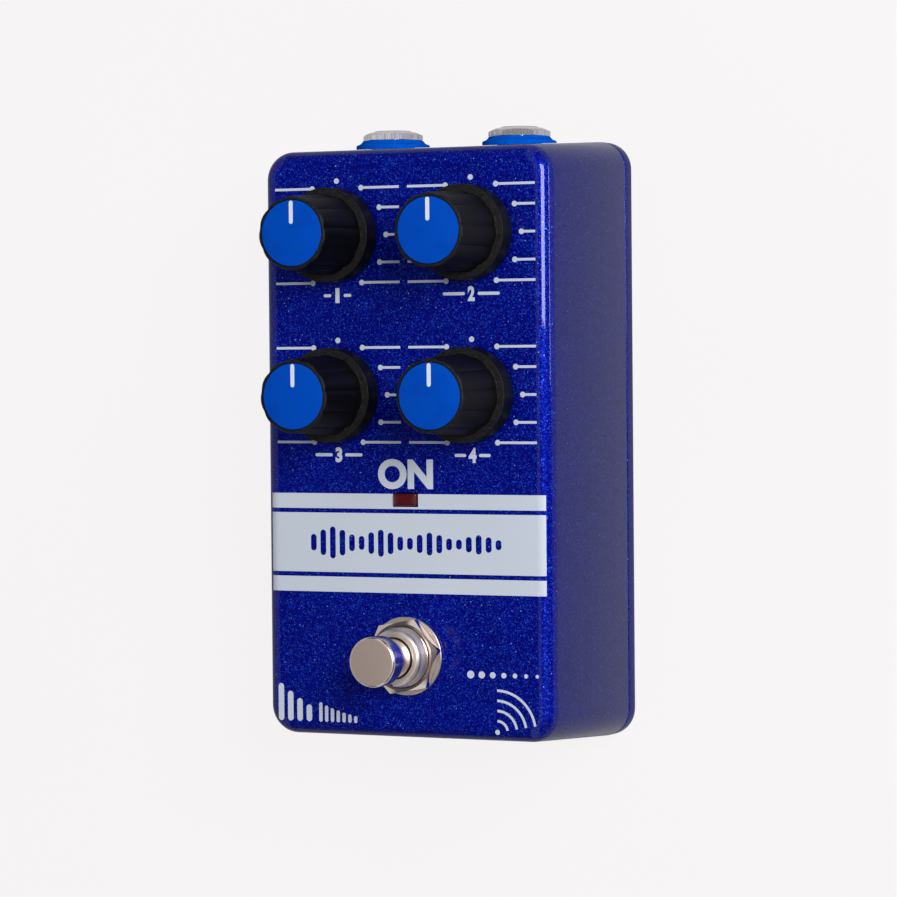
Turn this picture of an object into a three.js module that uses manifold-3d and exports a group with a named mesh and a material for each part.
import * as THREE from 'three';
import { mergeVertices } from 'three/addons/utils/BufferGeometryUtils.js';
import Module from 'manifold-3d';

// An analogue-style echo pedal for an electric guitar, lying on its cover with the knobs up.
// Millimetres. The origin is the middle of the cover's flat underside, +Z leaves the face
// and +Y points to the end that holds the two jacks.

const wasm = await Module();
wasm.setup();

// Fits and facets
const seatGap = 0.15;
const fitGap = 0.25;
const overrun = 1;
const leastRadius = 0.2;
const roundSides = 24;
const smallSides = 12;
const screwSides = 16;
const canSides = 12;
const holeSides = 6;
const cornerSteps = 5;
const caseCornerSteps = 2;
const filletSteps = 3;
const faceFilletSteps = 5;
const hexagonSides = 6;

// Cast box, open towards the cover
const boxLength = 121;
const boxWidth = 66;
const boxDepth = 35.4;
const sideLean = 1.7;
const endLean = 2.1;
const boxCornerRadius = 5.6;
const wallThickness = 2;
const faceThickness = 2.2;
const faceFillet = 3;
const innerFillet = 1;

// Cover, its locating tongue and the four corner screws
const coverThickness = 4.1;
const coverFillet = 1.2;
const coverUpperEdge = 0.4;
const coverFloor = 2.2;
const tongueHeight = 1.5;
const tongueThickness = 1.4;
const bossDiameter = 8;
const bossInset = 5.2;
const screwDiameter = 3.2;
const screwLength = 12;
const screwHeadDiameter = 6.4;
const screwHeadHeight = 1.9;
const crossWidth = 0.8;
const crossSpan = 3.4;
const crossDepth = 1.2;

// Four potentiometers and their knobs
const knobPitch = 29.4;
const upperRowFromEnd = 19;
const potCaseWidth = 9.8;
const potCaseLength = 11.4;
const potCaseHeight = 9.8;
const potCaseRadius = 0.8;
const potBushDiameter = 6.9;
const potBushLength = 5.9;
const potNeckDiameter = 4.8;
const potNeckDepth = 4;
const potShaftDiameter = 6;
const potFlatDepth = 1.5;
const potPinWidth = 0.8;
const potPinPitch = 2.5;
const potPinLength = 3;
const potWasherDiameter = 11;
const potWasherThickness = 0.5;
const potNutAcross = 10;
const potNutHeight = 2;
const nutChamfer = 0.55;
const nutFaceInset = 0.15;
const knobHeight = 18.7;
const knobGap = 1;
const skirtDiameter = 18.8;
const skirtHeight = 4.5;
const skirtEdge = 0.15;
const gripLowDiameter = 16;
const gripTopDiameter = 14.6;
const gripChamfer = 0.4;
const lobeCount = 11;
const lobeSteps = 3;
const grooveDepth = 0.45;
const knobRoof = 3.5;
const hubRecess = 3.4;
const hubClearance = 1;
const capDiameter = 12.9;
const capThickness = 1.2;
const capProud = 0.1;
const pointerWidth = 0.85;
const pointerStart = 1.8;
const pointerDepth = 0.3;

// Footswitch
const switchFromEnd = 18.38;
const switchWasherDiameter = 15.6;
const switchWasherThickness = 0.5;
const switchNutAcross = 13.7;
const switchNutHeight = 2;
const switchNutTurn = 10.1;
const barrelDiameter = 12;
const barrelProud = 6.3;
const barrelTaper = 0.42;
const barrelTaperHeight = 2.6;
const barrelChamfer = 0.36;
const keywayWidth = 1.6;
const keywayDepth = 0.9;
const keywayTurn = -101;
const plungerNeckDiameter = 7.9;
const plungerCapDiameter = 9.9;
const plungerCapHeight = 4;
const plungerCapEdge = 0.6;
const plungerProud = 16;
const plungerTravel = 3;
const plungerEntry = 2;
const framePlateWidth = 17;
const framePlateThickness = 1;
const switchCaseWidth = 16.6;
const switchCaseLength = 17.4;
const switchCaseHeight = 12;
const switchCaseRadius = 1;
const terminalPlateThickness = 1.4;
const terminalPlateInset = 0.6;
const lugWidth = 2.4;
const lugThickness = 0.9;
const lugLength = 3.6;
const lugPitchAcross = 4.8;
const lugPitchAlong = 5.2;
const switchBoardWidth = 21;
const switchBoardLength = 23;

// Main board and what it carries
const boardThickness = 1.6;
const boardEdgeGap = 1.6;
const boardBossGap = 1.3;
const boardJackEndGap = 1;
const boardPastLed = 4.8;
const ledWidth = 5;
const ledLength = 2.4;
const ledHeight = 7;
const ledProud = 0.6;
const ledFlange = 0.4;
const ledFlangeHeight = 1;
const ledCornerRadius = 0.3;
const ledTopEdge = 0.2;
const ledLeadWidth = 0.5;
const ledLeadPitch = 2.54;
const ledLeadTail = 1.5;
const legDrop = 0.25;
const legThickness = 0.3;
const canDiameter = 6.3;
const canHeight = 7.7;
const canGroove = 0.3;
const canGroovePlace = 1.6;
const canEdge = 0.4;
const cableWidth = 7.6;
const cableThickness = 0.9;
const cableWires = 6;
const cableSag = 4;
const cableInset = 3;
const cableSteps = 8;

// Jacks on the end wall
const jackInletGap = 1.7;
const jackBossGap = 1.6;
const jackCoverGap = 1;
const jackRailHeight = 3;
const jackBodyLength = 26;
const jackBodyRadius = 1;
const jackBoreDiameter = 7;
const jackBoreDepth = 24;
const footWidth = 1.6;
const sleeveDiameter = 9;
const sleeveBoreDiameter = 6.5;
const sleeveEntry = 4;
const sleeveProud = 0.27;
const sleeveEndDiameter = 7.3;
const sleeveEndChamfer = 0.5;
const collarBaseDiameter = 15.1;
const collarTopDiameter = 12.4;
const collarHeight = 1.65;
const collarLip = 0.55;
const collarLipEdge = 0.2;
const collarBow = 0.2;
const collarSteps = 3;
const jackNutAcross = 10.9;
const jackNutHeight = 1.65;
const inputNutTurn = 21;
const outputNutTurn = 11.5;
const springSlotWidth = 4;
const springSlotDepth = 3.2;
const springSlotLength = 16;
const springWidth = 3;
const springThickness = 0.4;
const springRoot = 6;
const springContact = 4;
const springRise = 1.8;
const contactRadius = 2.45;

// Power inlet, flush behind its hole
const inletHoleDiameter = 8.2;
const inletWidth = 9;
const inletHeight = 11;
const inletLength = 14.4;
const inletRadius = 0.6;
const inletBoreDiameter = 6.4;
const inletBoreDepth = 9.6;
const inletPinDiameter = 2;
const inletPinSetback = 2.6;
const inletPinRoot = 3;

// Levels and places that follow from the sizes above
const rimLevel = coverThickness + seatGap;
const faceLevel = rimLevel + boxDepth;
const ceilingLevel = faceLevel - faceThickness;
const potCaseTop = ceilingLevel - seatGap;
const potCaseFloor = potCaseTop - potCaseHeight;
const boardTop = potCaseFloor - seatGap;
const boardFloor = boardTop - boardThickness;
const knobFloor = faceLevel + knobGap;
const knobTop = knobFloor + knobHeight;
const capTop = knobTop + capProud;
const capFloor = capTop - capThickness;
const hubRoof = knobFloor + hubRecess;
const shaftTop = knobTop - knobRoof;
const bushTop = potCaseTop + potBushLength;
const framePlateTop = ceilingLevel - seatGap - switchNutHeight - seatGap;
const switchCaseTop = framePlateTop - framePlateThickness - seatGap;
const terminalTop = switchCaseTop - switchCaseHeight - seatGap;
const terminalFloor = terminalTop - terminalPlateThickness;
const switchBoardTop = terminalFloor - seatGap;
const switchBoardFloor = switchBoardTop - boardThickness;

// Places of the outer faces of the leaning walls at a level; they stand upright below the rim
const leanShare = (level) => Math.max(level - rimLevel, 0) / boxDepth;
const endFace = (level) => boxLength / 2 - endLean * leanShare(level);
const sideFace = (level) => boxWidth / 2 - sideLean * leanShare(level);

// Finishes
function finish(color, roughness, metalness) {
  return new THREE.MeshStandardMaterial({ color, roughness, metalness });
}
const sparkleBlue = finish(0x0a1a8c, 0.3, 0.5);
const softBlack = finish(0x18181c, 0.6, 0);
const capBlue = finish(0x0052c4, 0.45, 0);
const nickel = finish(0x9c8f84, 0.25, 1);
const zinc = finish(0xa8a8ac, 0.4, 1);
const blackPlastic = finish(0x17171a, 0.5, 0);
const shaftPlastic = finish(0x2a2a2e, 0.55, 0);
const boardGreen = finish(0x14512f, 0.5, 0);
const phenolic = finish(0x6e4a26, 0.6, 0);
const ledRed = finish(0x5a0d16, 0.15, 0);
const canBlack = finish(0x22242c, 0.35, 0.3);
const cableGrey = finish(0x8d9196, 0.6, 0);

const echoPedal = new THREE.Group();
echoPedal.name = 'echo_machine';

// A closed three.js geometry made into a solid that can be joined and cut
function solid(geometry) {
  geometry.deleteAttribute('normal');
  geometry.deleteAttribute('uv');
  const merged = mergeVertices(geometry);
  const points = merged.attributes.position.array;
  const corners = merged.index.array;
  const kept = [];
  for (let i = 0; i < corners.length; i += 3) {
    const [a, b, c] = [corners[i], corners[i + 1], corners[i + 2]];
    if (a !== b && b !== c && c !== a) kept.push(a, b, c);
  }
  if (signedVolume(points, kept) < 0) kept.reverse();
  return new wasm.Manifold(new wasm.Mesh({
    numProp: 3,
    vertProperties: new Float32Array(points),
    triVerts: new Uint32Array(kept),
  }));
}

function signedVolume(points, corners) {
  const [a, b, c] = [new THREE.Vector3(), new THREE.Vector3(), new THREE.Vector3()];
  let total = 0;
  for (let i = 0; i < corners.length; i += 3) {
    a.fromArray(points, 3 * corners[i]);
    b.fromArray(points, 3 * corners[i + 1]);
    c.fromArray(points, 3 * corners[i + 2]);
    total += a.dot(b.cross(c));
  }
  return total;
}

// Puts a finished solid into the model under its name; a parent group may turn and place it
function addPiece(name, body, material, parent = echoPedal) {
  const { numProp, vertProperties, triVerts } = body.getMesh();
  const positions = [];
  for (const corner of triVerts) {
    positions.push(...vertProperties.subarray(numProp * corner, numProp * corner + 3));
  }
  const geometry = new THREE.BufferGeometry();
  geometry.setAttribute('position', new THREE.Float32BufferAttribute(positions, 3));
  geometry.computeVertexNormals();
  const piece = new THREE.Mesh(geometry, material);
  piece.name = name;
  parent.add(piece);
  return piece;
}

// A block given by its limits along each axis
function block(xs, ys, zs) {
  const geometry = new THREE.BoxGeometry(xs[1] - xs[0], ys[1] - ys[0], zs[1] - zs[0]);
  geometry.translate((xs[0] + xs[1]) / 2, (ys[0] + ys[1]) / 2, (zs[0] + zs[1]) / 2);
  return solid(geometry);
}

const spread = (middle, width) => [middle - width / 2, middle + width / 2];

// An upright round bar at x, y between two levels
function bar(x, y, diameter, lower, upper, sides = roundSides) {
  const geometry = new THREE.CylinderGeometry(diameter / 2, diameter / 2, upper - lower, sides);
  geometry.rotateX(Math.PI / 2);
  geometry.translate(x, y, (lower + upper) / 2);
  return solid(geometry);
}

// A profile of [radius, level] points turned about the Z axis at x, y
function turned(profile, x = 0, y = 0, sides = roundSides) {
  const geometry = new THREE.LatheGeometry(profile.map(([r, z]) => new THREE.Vector2(r, z)), sides);
  geometry.rotateX(Math.PI / 2);
  geometry.translate(x, y, 0);
  return solid(geometry);
}

// A skin over rings of equal point counts, closed by a flat fan at each end
function loft(rings) {
  const count = rings[0].length;
  const positions = rings.flat().flatMap((p) => p.toArray());
  const corners = [];
  for (let ring = 0; ring + 1 < rings.length; ring += 1) {
    for (let i = 0; i < count; i += 1) {
      const here = ring * count + i;
      const next = ring * count + ((i + 1) % count);
      corners.push(here, next, next + count, here, next + count, here + count);
    }
  }
  for (const ring of [0, rings.length - 1]) {
    const middle = new THREE.Vector3();
    rings[ring].forEach((p) => middle.addScaledVector(p, 1 / count));
    const hub = positions.length / 3;
    positions.push(...middle.toArray());
    for (let i = 0; i < count; i += 1) {
      const here = ring * count + i;
      const next = ring * count + ((i + 1) % count);
      corners.push(...(ring === 0 ? [hub, next, here] : [hub, here, next]));
    }
  }
  const geometry = new THREE.BufferGeometry();
  geometry.setAttribute('position', new THREE.Float32BufferAttribute(positions, 3));
  geometry.setIndex(corners);
  return solid(geometry);
}

// A rounded rectangle set in by an inset on all sides, as a ring of points at a level
function rectangleRing(width, length, radius, inset, level, steps) {
  const round = Math.max(radius - inset, leastRadius);
  const [x, y] = [width / 2 - inset - round, length / 2 - inset - round];
  const ring = [];
  [[1, 1], [-1, 1], [-1, -1], [1, -1]].forEach(([sx, sy], quarter) => {
    for (let step = 0; step <= steps; step += 1) {
      const angle = (quarter + step / steps) * Math.PI / 2;
      const [dx, dy] = [round * Math.cos(angle), round * Math.sin(angle)];
      ring.push(new THREE.Vector3(sx * x + dx, sy * y + dy, level));
    }
  });
  return ring;
}

// A rounded rectangle carried up a profile of [inset, level] points
function rectangleLoft(width, length, radius, profile, steps = caseCornerSteps) {
  return loft(profile.map(([inset, level]) => rectangleRing(width, length, radius, inset, level, steps)));
}

// The same along the box's leaning walls, each inset measured from their outer faces
function boxLoft(profile) {
  return loft(profile.map(([inset, level]) => rectangleRing(
    2 * sideFace(level),
    2 * endFace(level),
    boxCornerRadius,
    inset,
    level,
    cornerSteps,
  )));
}

// The points of a quarter fillet from a side at an inset up to a flat top, as [inset, level]
function filletUp(inset, top, radius, steps = filletSteps) {
  const points = [];
  for (let step = 0; step <= steps; step += 1) {
    const angle = (step / steps) * Math.PI / 2;
    points.push([inset + radius * (1 - Math.cos(angle)), top - radius * (1 - Math.sin(angle))]);
  }
  return points;
}

// A hexagon nut standing on the level zero, its upper rim turned to a shallow cone
function hexagonNut(across, height, boreDiameter, turnDegrees = 0, sides = roundSides) {
  const corner = across / 2 / Math.cos(Math.PI / hexagonSides);
  const outline = new THREE.Shape();
  for (let i = 0; i < hexagonSides; i += 1) {
    const angle = turnDegrees * Math.PI / 180 + i * 2 * Math.PI / hexagonSides;
    const point = [corner * Math.cos(angle), corner * Math.sin(angle)];
    if (i === 0) outline.moveTo(...point);
    else outline.lineTo(...point);
  }
  const prism = solid(new THREE.ExtrudeGeometry(outline, { depth: height, bevelEnabled: false }));
  const face = across / 2 - nutFaceInset;
  const reach = corner + overrun;
  const drop = nutChamfer * (reach - face) / (corner - face);
  const dressing = turned(
    [[0, 0], [reach, 0], [reach, height - drop], [face, height], [0, height]],
    0,
    0,
    sides,
  );
  return prism.intersect(dressing).subtract(bar(0, 0, boreDiameter, -overrun, height + overrun, sides));
}

// A flat ring standing on the level zero
function washer(diameter, thickness, boreDiameter, sides = roundSides) {
  const ring = bar(0, 0, diameter, 0, thickness, sides);
  return ring.subtract(bar(0, 0, boreDiameter, -overrun, thickness + overrun, sides));
}

const cornerPlaces = [[1, 1], [-1, 1], [-1, -1], [1, -1]].map(([sx, sy]) => [
  sx * (boxWidth / 2 - bossInset),
  sy * (boxLength / 2 - bossInset),
]);
const upperRow = boxLength / 2 - upperRowFromEnd;
const switchPlace = switchFromEnd - boxLength / 2;

// The lower knobs and the lamp, as shares of the way from the upper knobs to the footswitch
const lowerRowShare = 0.3803;
const ledShare = 0.629;
const controlSpan = upperRow - switchPlace;
const lowerRow = upperRow - lowerRowShare * controlSpan;
const ledPlace = upperRow - ledShare * controlSpan;
const controlPlaces = {
  tone: [-knobPitch / 2, upperRow],
  feedback: [knobPitch / 2, upperRow],
  level: [-knobPitch / 2, lowerRow],
  delay: [knobPitch / 2, lowerRow],
};

// Each jack case fills the room left between the inlet, a boss, the cover's tongue and the board
const bossInnerSide = boxWidth / 2 - bossInset - bossDiameter / 2;
const jackBodySides = [inletWidth / 2 + jackInletGap, bossInnerSide - jackBossGap];
const jackBodyFloor = coverThickness + tongueHeight + jackCoverGap;
const jackBodyWidth = jackBodySides[1] - jackBodySides[0];
const jackBodyHeight = boardFloor - seatGap - jackRailHeight - jackBodyFloor;
const jackHeight = jackBodyFloor + jackBodyHeight / 2;
const jackReach = (jackBodySides[0] + jackBodySides[1]) / 2;
const jackPlaces = { input: jackReach, output: -jackReach };

// The jacks and the power inlet lie along +Y: a frame whose +Z leaves the end wall at a jack's
// height, where the wall's outer face is its level zero and the board lies towards its -Y
const jackFace = endFace(jackHeight);
function endWallFrame(x) {
  const frame = new THREE.Group();
  frame.position.set(x, jackFace, jackHeight);
  frame.rotation.x = -Math.PI / 2;
  return frame;
}

// A round bar in that frame, as a cutting tool for the wall
function endWallBar(x, diameter) {
  const radius = diameter / 2;
  const geometry = new THREE.CylinderGeometry(radius, radius, 2 * (wallThickness + overrun), roundSides);
  geometry.translate(x, jackFace, jackHeight);
  return solid(geometry);
}

// Cast aluminium box: drafted walls, filleted face, four screw bosses and its holes
function makeEnclosure() {
  const outer = boxLoft([[0, rimLevel], ...filletUp(0, faceLevel, faceFillet, faceFilletSteps)]);
  const cavity = boxLoft([
    [wallThickness, rimLevel - overrun],
    [wallThickness, rimLevel],
    ...filletUp(wallThickness, ceilingLevel, innerFillet),
  ]);
  let hollow = cavity;
  for (const [x, y] of cornerPlaces) {
    hollow = hollow.subtract(bar(x, y, bossDiameter, rimLevel, faceLevel, smallSides));
  }
  let box = outer.subtract(hollow);
  for (const [x, y] of cornerPlaces) {
    const pilotTop = rimLevel + screwLength;
    box = box.subtract(bar(x, y, screwDiameter + 2 * fitGap, rimLevel - overrun, pilotTop, smallSides));
  }
  const through = [ceilingLevel - overrun, faceLevel + overrun];
  for (const [x, y] of Object.values(controlPlaces)) {
    box = box.subtract(bar(x, y, potBushDiameter + 2 * fitGap, ...through));
  }
  box = box.subtract(bar(0, switchPlace, barrelDiameter + 2 * fitGap, ...through));
  box = box.subtract(block(
    spread(0, ledWidth + 2 * fitGap),
    spread(ledPlace, ledLength + 2 * fitGap),
    through,
  ));
  for (const x of Object.values(jackPlaces)) {
    box = box.subtract(endWallBar(x, sleeveDiameter + 2 * fitGap));
  }
  return box.subtract(endWallBar(0, inletHoleDiameter));
}

// Cast cover: rounded underside, eased upper edge, a tongue that drops inside the box, pads
// under the bosses
function makeCover() {
  const lower = filletUp(0, coverThickness, coverFillet)
    .map(([inset, level]) => [inset, coverThickness - level])
    .reverse();
  const blank = boxLoft([
    ...lower,
    [0, coverThickness - coverUpperEdge],
    [coverUpperEdge, coverThickness],
  ]);
  const tongueInset = wallThickness + fitGap;
  const tongueTop = coverThickness + tongueHeight;
  const tongue = boxLoft([
    [tongueInset, coverFloor],
    [tongueInset, rimLevel],
    [tongueInset, tongueTop],
  ]);
  const pocket = boxLoft([
    [tongueInset + tongueThickness, coverFloor],
    [tongueInset + tongueThickness, tongueTop + overrun],
  ]);
  let pads = null;
  let relief = null;
  for (const [x, y] of cornerPlaces) {
    const pad = bar(x, y, bossDiameter, coverFloor, coverThickness, smallSides);
    const clear = bar(x, y, bossDiameter + 2 * fitGap, coverThickness, tongueTop + overrun, smallSides);
    pads = pads ? pads.add(pad) : pad;
    relief = relief ? relief.add(clear) : clear;
  }
  let cover = blank.add(tongue).subtract(pocket.subtract(pads)).subtract(relief);
  for (const [x, y] of cornerPlaces) {
    const holeRadius = screwDiameter / 2 + fitGap;
    const seatRadius = screwHeadDiameter / 2 + fitGap;
    cover = cover.subtract(turned([
      [0, -overrun],
      [seatRadius, -overrun],
      [seatRadius, seatGap],
      [holeRadius, screwHeadHeight + seatGap],
      [holeRadius, coverThickness + overrun],
      [0, coverThickness + overrun],
    ], x, y, screwSides));
  }
  return cover;
}

// Countersunk screw with a cross recess, head down
function makeCoverScrew() {
  const [shank, head] = [screwDiameter / 2, screwHeadDiameter / 2];
  const top = screwLength;
  const body = turned([
    [0, seatGap],
    [head, seatGap],
    [shank, seatGap + screwHeadHeight],
    [shank, top - shank],
    [0, top],
  ], 0, 0, screwSides);
  const depths = [seatGap - overrun, seatGap + crossDepth];
  const cross = block(spread(0, crossSpan), spread(0, crossWidth), depths)
    .add(block(spread(0, crossWidth), spread(0, crossSpan), depths));
  return body.subtract(cross);
}

addPiece('enclosure', makeEnclosure(), sparkleBlue);
addPiece('back_cover', makeCover(), sparkleBlue);
cornerPlaces.forEach(([x, y], i) => {
  const screw = addPiece(`cover_screw_${i + 1}`, makeCoverScrew(), zinc);
  screw.position.set(x, y, 0);
});

// One ring of the knob's grip: rounded lobes with a narrow groove between each two
function lobedRing(diameter, level, depth = grooveDepth) {
  const ring = [];
  const count = lobeCount * lobeSteps;
  for (let i = 0; i < count; i += 1) {
    const angle = i * 2 * Math.PI / count;
    const radius = diameter / 2 - depth * (1 - Math.abs(Math.sin(lobeCount * angle / 2)));
    const turn = angle + Math.PI / 2 + Math.PI / lobeCount;
    ring.push(new THREE.Vector3(radius * Math.cos(turn), radius * Math.sin(turn), level));
  }
  return ring;
}

// Moulded knob: round skirt with a flat ledge, tapered lobed grip whose grooves run out at the
// top edge, hub open underneath
function makeKnob() {
  const skirtTop = knobFloor + skirtHeight;
  const skirt = turned([
    [0, knobFloor],
    [skirtDiameter / 2, knobFloor],
    [skirtDiameter / 2, skirtTop - skirtEdge],
    [skirtDiameter / 2 - skirtEdge, skirtTop],
    [0, skirtTop],
  ]);
  const grip = loft([
    lobedRing(gripLowDiameter, skirtTop - skirtEdge),
    lobedRing(gripTopDiameter, knobTop - gripChamfer),
    lobedRing(gripTopDiameter - 2 * gripChamfer, knobTop, 0),
  ]);
  const hubRadius = potNutAcross / 2 / Math.cos(Math.PI / hexagonSides) + hubClearance;
  const boreDiameter = potShaftDiameter + 2 * fitGap;
  const boreTop = shaftTop + seatGap;
  const flatPlace = potShaftDiameter / 2 - potFlatDepth + fitGap;
  const bore = bar(0, 0, boreDiameter, hubRoof - overrun, boreTop, smallSides)
    .subtract(block(
      [flatPlace, boreDiameter],
      spread(0, 2 * boreDiameter),
      [hubRoof, boreTop + overrun],
    ));
  return skirt.add(grip)
    .subtract(bar(0, 0, 2 * hubRadius, knobFloor - overrun, hubRoof, smallSides))
    .subtract(bore)
    .subtract(bar(0, 0, capDiameter + 2 * seatGap, capFloor - seatGap, knobTop + overrun));
}

// Coloured disc let into the knob's top, with a groove for the white pointer line
function makeKnobCap() {
  const reach = capDiameter / 2 + overrun;
  const depths = [capTop - pointerDepth, capTop + overrun];
  return bar(0, 0, capDiameter, capFloor, capTop)
    .subtract(block(spread(0, pointerWidth), [pointerStart, reach], depths));
}

// Shaft: slim neck in the bush, then the full diameter with a flat for the knob
function makePotShaft() {
  const neckTop = bushTop + seatGap;
  const shaft = turned([
    [0, potCaseTop - potNeckDepth],
    [potNeckDiameter / 2, potCaseTop - potNeckDepth],
    [potNeckDiameter / 2, neckTop],
    [potShaftDiameter / 2, neckTop],
    [potShaftDiameter / 2, shaftTop],
    [0, shaftTop],
  ], 0, 0, smallSides);
  const flatPlace = potShaftDiameter / 2 - potFlatDepth;
  return shaft.subtract(block(
    [flatPlace, potShaftDiameter],
    spread(0, 2 * potShaftDiameter),
    [hubRoof, shaftTop + overrun],
  ));
}

// Case with its threaded bush and three pins, bored for the shaft's neck
function makePotBody() {
  let body = rectangleLoft(potCaseWidth, potCaseLength, potCaseRadius, [
    [0, potCaseFloor],
    [0, potCaseTop],
  ]);
  body = body.add(bar(0, 0, potBushDiameter, potCaseFloor, bushTop, smallSides));
  const pinLevels = [potCaseFloor - potPinLength, potCaseTop];
  for (const [x, y] of potPinPlaces()) {
    body = body.add(block(spread(x, potPinWidth), spread(y, potPinWidth), pinLevels));
  }
  const boreFloor = potCaseTop - potNeckDepth - fitGap;
  const boreDiameter = potNeckDiameter + 2 * seatGap;
  return body.subtract(bar(0, 0, boreDiameter, boreFloor, bushTop + overrun, smallSides));
}

function potPinPlaces() {
  return [-1, 0, 1].map((side) => [side * potPinPitch, potPinWidth - potCaseLength / 2]);
}

const washerLevel = faceLevel + seatGap;
const potNutLevel = washerLevel + potWasherThickness + seatGap;
for (const [control, [x, y]] of Object.entries(controlPlaces)) {
  const bushBore = potBushDiameter + 2 * fitGap;
  addPiece(`${control}_knob`, makeKnob(), softBlack).position.set(x, y, 0);
  addPiece(`${control}_knob_cap`, makeKnobCap(), capBlue).position.set(x, y, 0);
  addPiece(`${control}_pot_shaft`, makePotShaft(), shaftPlastic).position.set(x, y, 0);
  addPiece(`${control}_pot_body`, makePotBody(), zinc).position.set(x, y, 0);
  const ring = washer(potWasherDiameter, potWasherThickness, bushBore, smallSides);
  addPiece(`${control}_pot_washer`, ring, zinc).position.set(x, y, washerLevel);
  const nut = hexagonNut(potNutAcross, potNutHeight, bushBore, 0, smallSides);
  addPiece(`${control}_pot_nut`, nut, zinc).position.set(x, y, potNutLevel);
}

// Barrel with its frame plate: it narrows towards the top, and a keyway runs down one side
function makeSwitchBarrel() {
  const top = faceLevel + barrelProud;
  const radius = barrelDiameter / 2;
  const barrel = turned([
    [0, framePlateTop - framePlateThickness],
    [radius, framePlateTop - framePlateThickness],
    [radius, top - barrelTaperHeight],
    [radius - barrelTaper, top - barrelChamfer],
    [radius - barrelTaper - barrelChamfer, top],
    [0, top],
  ]);
  const plate = block(
    spread(0, framePlateWidth),
    spread(0, switchCaseLength),
    [framePlateTop - framePlateThickness, framePlateTop],
  );
  const keyway = new THREE.BoxGeometry(2 * keywayDepth, keywayWidth, top + overrun - framePlateTop);
  keyway.translate(radius, 0, (top + overrun + framePlateTop) / 2);
  keyway.rotateZ(keywayTurn * Math.PI / 180);
  const boreFloor = framePlateTop - 2 * framePlateThickness;
  const bore = bar(0, 0, plungerNeckDiameter + 2 * fitGap, boreFloor, top + overrun);
  return barrel.add(plate).subtract(solid(keyway)).subtract(bore);
}

// Plunger: a button with rounded edges on a neck that reaches into the case
const plungerFoot = switchCaseTop - plungerEntry;
function makePlunger() {
  const top = faceLevel + plungerProud;
  const capBottom = top - plungerCapHeight;
  const [neck, cap] = [plungerNeckDiameter / 2, plungerCapDiameter / 2];
  const edge = [];
  for (let step = 0; step <= filletSteps; step += 1) {
    const angle = (step / filletSteps) * Math.PI / 2;
    edge.push([
      cap - plungerCapEdge * (1 - Math.cos(angle)),
      top - plungerCapEdge * (1 - Math.sin(angle)),
    ]);
  }
  return turned([
    [0, plungerFoot],
    [neck, plungerFoot],
    [neck, capBottom],
    [cap, capBottom],
    ...edge,
    [0, top],
  ]);
}

// Moulded case, open on top where the plunger enters
function makeSwitchCase() {
  const floor = switchCaseTop - switchCaseHeight;
  const body = rectangleLoft(switchCaseWidth, switchCaseLength, switchCaseRadius, [
    [0, floor],
    [0, switchCaseTop],
  ]);
  const wellFloor = plungerFoot - plungerTravel - fitGap;
  const wellDiameter = plungerNeckDiameter + 2 * fitGap;
  return body.subtract(bar(0, 0, wellDiameter, wellFloor, switchCaseTop + overrun, smallSides));
}

const lugPlaces = [];
for (const across of [-1, 0, 1]) {
  for (const along of [-1, 0, 1]) lugPlaces.push([across * lugPitchAcross, along * lugPitchAlong]);
}

// Nine solder lugs standing in their moulded plate
function makeTerminals() {
  let plate = rectangleLoft(switchCaseWidth, switchCaseLength, switchCaseRadius, [
    [terminalPlateInset, terminalFloor],
    [terminalPlateInset, terminalTop],
  ]);
  for (const [x, y] of lugPlaces) {
    plate = plate.add(block(
      spread(x, lugWidth),
      spread(y, lugThickness),
      [terminalFloor - lugLength, terminalTop - terminalPlateThickness / 2],
    ));
  }
  return plate;
}

function makeSwitchBoard() {
  let board = block(
    spread(0, switchBoardWidth),
    spread(0, switchBoardLength),
    [switchBoardFloor, switchBoardTop],
  );
  for (const [x, y] of lugPlaces) {
    board = board.subtract(block(
      spread(x, lugWidth + 2 * fitGap),
      spread(y, lugThickness + 2 * fitGap),
      [switchBoardFloor - overrun, switchBoardTop + overrun],
    ));
  }
  return board;
}

const barrelBore = barrelDiameter + 2 * fitGap;
const footswitch = {
  footswitch_bushing: [makeSwitchBarrel(), nickel, 0],
  footswitch_plunger: [makePlunger(), nickel, 0],
  footswitch_washer: [
    washer(switchWasherDiameter, switchWasherThickness, barrelBore),
    nickel,
    washerLevel,
  ],
  footswitch_nut: [
    hexagonNut(switchNutAcross, switchNutHeight, barrelBore, switchNutTurn),
    nickel,
    washerLevel + switchWasherThickness + seatGap,
  ],
  footswitch_lock_nut: [
    hexagonNut(switchNutAcross, switchNutHeight, barrelBore, 0, smallSides),
    nickel,
    framePlateTop + seatGap,
  ],
  footswitch_case: [makeSwitchCase(), blackPlastic, 0],
  footswitch_terminals: [makeTerminals(), phenolic, 0],
  footswitch_board: [makeSwitchBoard(), boardGreen, 0],
};
for (const [name, [body, material, level]] of Object.entries(footswitch)) {
  addPiece(name, body, material).position.set(0, switchPlace, level);
}

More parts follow.
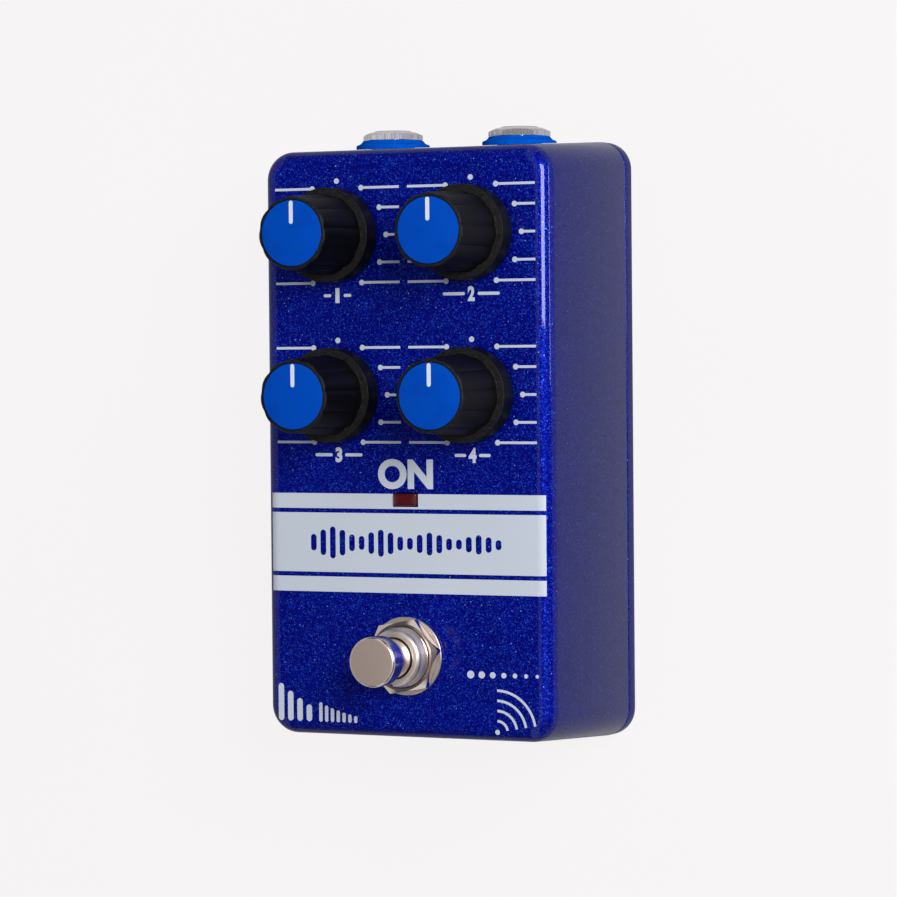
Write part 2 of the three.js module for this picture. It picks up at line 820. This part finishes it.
// Board outline: full width, stepped in at the jack end to pass the two bosses
const boardWidth = 2 * (sideFace(boardTop) - wallThickness - boardEdgeGap);
const boardJackEnd = endFace(boardTop) - wallThickness - boardJackEndGap;
const boardLowerEnd = ledPlace - boardPastLed;
const ledLeadPlaces = [-1, 1].map((side) => [side * ledLeadPitch / 2, ledPlace]);
function makeBoard() {
  const levels = [boardFloor, boardTop];
  const bossReach = bossInset + bossDiameter / 2 + boardBossGap;
  const shoulder = boxLength / 2 - bossReach;
  let board = block(spread(0, boardWidth), [boardLowerEnd, shoulder], levels)
    .add(block(spread(0, boxWidth - 2 * bossReach), [boardLowerEnd, boardJackEnd], levels));
  const holes = ledLeadPlaces.map(([x, y]) => [x, y, ledLeadWidth]);
  for (const [x, y] of Object.values(controlPlaces)) {
    for (const [dx, dy] of potPinPlaces()) holes.push([x + dx, y + dy, potPinWidth]);
  }
  for (const [x, y, width] of holes) {
    const diameter = (width + fitGap) * Math.SQRT2;
    board = board.subtract(bar(x, y, diameter, boardFloor - overrun, boardTop + overrun, holeSides));
  }
  return board;
}

// Rectangular lamp in clear red resin with a flange at its foot and two legs
function makeLed() {
  const top = faceLevel + ledProud;
  const floor = top - ledHeight;
  let lamp = rectangleLoft(ledWidth, ledLength, ledCornerRadius, [
    [0, floor],
    [0, top - ledTopEdge],
    [ledTopEdge, top],
  ]);
  lamp = lamp.add(block(
    spread(0, ledWidth + 2 * ledFlange),
    spread(0, ledLength + 2 * ledFlange),
    [floor, floor + ledFlangeHeight],
  ));
  for (const [x] of ledLeadPlaces) {
    lamp = lamp.add(block(
      spread(x, ledLeadWidth),
      spread(0, ledLeadWidth),
      [boardFloor - ledLeadTail, floor + ledFlangeHeight / 2],
    ));
  }
  return lamp;
}

// Flat chip package under the board, its bent legs reaching the copper on both long sides
function makeChip({ size, legCount, legPitch, legWidth, legReach }) {
  const [width, length, height] = size;
  const top = boardFloor - seatGap;
  let chip = rectangleLoft(width, length, leastRadius, [
    [0, top - legDrop - height],
    [0, top - legDrop],
  ]);
  const legTurn = top - legDrop - height / 2;
  for (let i = 0; i < legCount; i += 1) {
    const y = (i - (legCount - 1) / 2) * legPitch;
    const outer = width / 2 + legReach;
    chip = chip.add(block(spread(0, 2 * outer), spread(y, legWidth), [legTurn - legThickness, legTurn]));
    for (const side of [-1, 1]) {
      const foot = spread(side * (outer - legThickness / 2), legThickness);
      chip = chip.add(block(foot, spread(y, legWidth), [legTurn - legThickness, top]));
    }
  }
  return chip;
}

// Electrolytic can hanging under the board, crimped near its seal
function makeCan() {
  const top = boardFloor - seatGap;
  const radius = canDiameter / 2;
  return turned([
    [0, top],
    [radius, top],
    [radius, top - canGroovePlace + canGroove],
    [radius - canGroove, top - canGroovePlace],
    [radius, top - canGroovePlace - canGroove],
    [radius, top - canHeight + canEdge],
    [radius - canEdge, top - canHeight],
    [0, top - canHeight],
  ], 0, 0, canSides);
}

// Flat six-wire cable, soldered under both boards, hanging in one slack bow between them
function makeCable() {
  const from = new THREE.Vector3(0, boardLowerEnd + cableInset, boardFloor - seatGap);
  const edge = switchPlace + switchBoardLength / 2;
  const to = new THREE.Vector3(0, edge - cableInset / 2, switchBoardFloor - seatGap);
  const low = to.z - cableSag;
  const bow = new THREE.CubicBezierCurve3(
    from,
    new THREE.Vector3(0, from.y, low),
    new THREE.Vector3(0, to.y, low - cableSag),
    to,
  );
  const wire = cableWidth / cableWires;
  const [half, valley] = [cableThickness / 2, cableThickness / 4];
  const upper = [];
  for (let i = 0; i < cableWires; i += 1) {
    const start = -cableWidth / 2 + i * wire;
    upper.push([start, valley], [start + wire / 2, half]);
  }
  upper.push([cableWidth / 2, valley]);
  const lower = upper.map(([x, y]) => [x, -y]).reverse();
  const outline = new THREE.Shape([...upper, ...lower].map(([x, y]) => new THREE.Vector2(x, y)));
  return solid(new THREE.ExtrudeGeometry(outline, { steps: cableSteps, extrudePath: bow }));
}

addPiece('circuit_board', makeBoard(), boardGreen);
addPiece('status_led', makeLed(), ledRed).position.set(0, ledPlace, 0);
addPiece('ribbon_cable', makeCable(), cableGrey);

// Places under the board, as shares of its half width and of its length from the footswitch end
const smallLegs = { legPitch: 1.27, legWidth: 0.42 };
const delayChip = { size: [7.5, 10.3, 2.3], legCount: 8, legReach: 1.4, ...smallLegs };
const opampChip = { size: [3.9, 4.9, 1.5], legCount: 4, legReach: 1.1, ...smallLegs };
const regulator = { size: [3.5, 6.5, 1.6], legCount: 3, legReach: 1.6, legPitch: 2.3, legWidth: 0.7 };
const delayChipShares = [0, 0.5];
const opampChipShares = [-0.46, 0.52];
const regulatorShares = [0.46, 0.53];
const canShares = [[-0.74, 0.096], [0.74, 0.096], [0.74, 0.275]];
const boardPlace = ([acrossShare, alongShare]) => [
  acrossShare * boardWidth / 2,
  boardLowerEnd + alongShare * (boardJackEnd - boardLowerEnd),
  0,
];

addPiece('delay_chip', makeChip(delayChip), blackPlastic).position.set(...boardPlace(delayChipShares));
addPiece('opamp_chip', makeChip(opampChip), blackPlastic).position.set(...boardPlace(opampChipShares));
addPiece('regulator', makeChip(regulator), blackPlastic).position.set(...boardPlace(regulatorShares));
canShares.forEach((shares, i) => {
  addPiece(`capacitor_${i + 1}`, makeCan(), canBlack).position.set(...boardPlace(shares));
});

// A case on two rails that stand off the board, its front just behind the end wall
const frontOf = (height) => endFace(jackHeight + height / 2) - wallThickness - seatGap - jackFace;
const railReach = boardFloor - seatGap - jackHeight;
function makeRailCase(width, height, length, radius) {
  const front = frontOf(height);
  let body = rectangleLoft(width, height, radius, [[0, front - length], [0, front]]);
  const rise = [-railReach, -height / 2 + radius];
  const run = [front - length + radius, front - radius];
  for (const side of [-1, 1]) {
    body = body.add(block(spread(side * (width - footWidth) / 2, footWidth), rise, run));
  }
  return body;
}

const jackFront = frontOf(jackBodyHeight);
const boreEnd = jackFront - jackBoreDepth;
const slotRoof = jackBoreDiameter / 2 + springSlotDepth;
const jackNutLevel = seatGap + collarHeight + seatGap;
const jackNutTurns = { input: inputNutTurn, output: outputNutTurn };

// Moulded jack case: plug bore, seat for the sleeve and a slot for the tip spring
function makeJackBody() {
  const seatDiameter = sleeveDiameter + 2 * fitGap;
  return makeRailCase(jackBodyWidth, jackBodyHeight, jackBodyLength, jackBodyRadius)
    .subtract(bar(0, 0, jackBoreDiameter, boreEnd, jackFront + overrun))
    .subtract(bar(0, 0, seatDiameter, jackFront - sleeveEntry - seatGap, jackFront + overrun))
    .subtract(block(spread(0, springSlotWidth), [-slotRoof, 0], [boreEnd, boreEnd + springSlotLength]));
}

// Threaded sleeve, its chamfered end standing a little proud of the nut
function makeSleeve() {
  const top = jackNutLevel + jackNutHeight + sleeveProud;
  const foot = jackFront - sleeveEntry;
  const radius = sleeveDiameter / 2;
  return turned([
    [0, foot],
    [radius, foot],
    [radius, top - sleeveEndChamfer],
    [sleeveEndDiameter / 2, top],
    [0, top],
  ]).subtract(bar(0, 0, sleeveBoreDiameter, foot - overrun, top + overrun));
}

// Soft collar flared towards the wall, its back lying along the wall's lean
function makeCollar() {
  const top = seatGap + collarHeight;
  const lip = seatGap + collarLip;
  const [wide, slim] = [collarBaseDiameter / 2, collarTopDiameter / 2];
  const rim = wide - collarLipEdge;
  const flank = [];
  for (let step = 0; step <= collarSteps; step += 1) {
    const share = step / collarSteps;
    const bow = collarBow * Math.sin(share * Math.PI);
    flank.push([rim + (slim - rim) * share - bow, lip + (top - lip) * share - bow]);
  }
  const edge = [[wide, -overrun], [wide, lip - collarLipEdge]];
  const ring = turned([[0, -overrun], ...edge, ...flank, [0, top]])
    .subtract(bar(0, 0, sleeveDiameter + 2 * fitGap, -2 * overrun, top + overrun));
  const wall = new THREE.BoxGeometry(2 * collarBaseDiameter, 2 * collarBaseDiameter, 2 * overrun);
  wall.translate(0, 0, seatGap - overrun);
  wall.rotateX(Math.atan(endLean / boxDepth));
  return ring.subtract(solid(wall));
}

// Bent leaf that bears on the plug's tip, given as [place along the bore, distance from its axis]
function makeTipSpring() {
  const root = springSlotLength - fitGap;
  const high = slotRoof - fitGap - springThickness;
  const line = [
    [root, high],
    [root - springRoot, high],
    [springContact, contactRadius],
    [fitGap, contactRadius + springRise],
  ];
  const outline = [...line, ...line.map(([u, v]) => [u, v + springThickness]).reverse()];
  const shape = new THREE.Shape(outline.map(([u, v]) => new THREE.Vector2(u, v)));
  const geometry = new THREE.ExtrudeGeometry(shape, { depth: springWidth, bevelEnabled: false });
  const toBore = new THREE.Matrix4().makeBasis(
    new THREE.Vector3(0, 0, 1),
    new THREE.Vector3(0, -1, 0),
    new THREE.Vector3(1, 0, 0),
  );
  geometry.applyMatrix4(toBore);
  geometry.translate(-springWidth / 2, 0, boreEnd);
  return solid(geometry);
}

for (const [name, x] of Object.entries(jackPlaces)) {
  const frame = endWallFrame(x);
  addPiece(`${name}_jack_body`, makeJackBody(), blackPlastic, frame);
  addPiece(`${name}_jack_sleeve`, makeSleeve(), zinc, frame);
  addPiece(`${name}_jack_tip_spring`, makeTipSpring(), nickel, frame);
  addPiece(`${name}_jack_collar`, makeCollar(), capBlue, frame);
  const nut = hexagonNut(jackNutAcross, jackNutHeight, sleeveDiameter + 2 * fitGap, jackNutTurns[name]);
  addPiece(`${name}_jack_nut`, nut, zinc, frame).position.z = jackNutLevel;
  echoPedal.add(frame);
}

const inletFront = frontOf(inletHeight);
const inletBoreEnd = inletFront - inletBoreDepth;
function makeInletBody() {
  const socket = inletPinDiameter + 2 * seatGap;
  return makeRailCase(inletWidth, inletHeight, inletLength, inletRadius)
    .subtract(bar(0, 0, inletBoreDiameter, inletBoreEnd, inletFront + overrun))
    .subtract(bar(0, 0, socket, inletBoreEnd - inletPinRoot, inletFront, smallSides));
}

// Centre pin with a rounded tip
function makeInletPin() {
  const radius = inletPinDiameter / 2;
  const tip = inletFront - inletPinSetback;
  const dome = [];
  for (let step = 0; step <= filletSteps; step += 1) {
    const angle = (step / filletSteps) * Math.PI / 2;
    dome.push([radius * Math.cos(angle), tip - radius + radius * Math.sin(angle)]);
  }
  const foot = inletBoreEnd - inletPinRoot + seatGap;
  return turned([[0, foot], [radius, foot], ...dome], 0, 0, smallSides);
}

const inletFrame = endWallFrame(0);
addPiece('dc_inlet_body', makeInletBody(), blackPlastic, inletFrame);
addPiece('dc_inlet_pin', makeInletPin(), nickel, inletFrame);
echoPedal.add(inletFrame);

export default echoPedal;
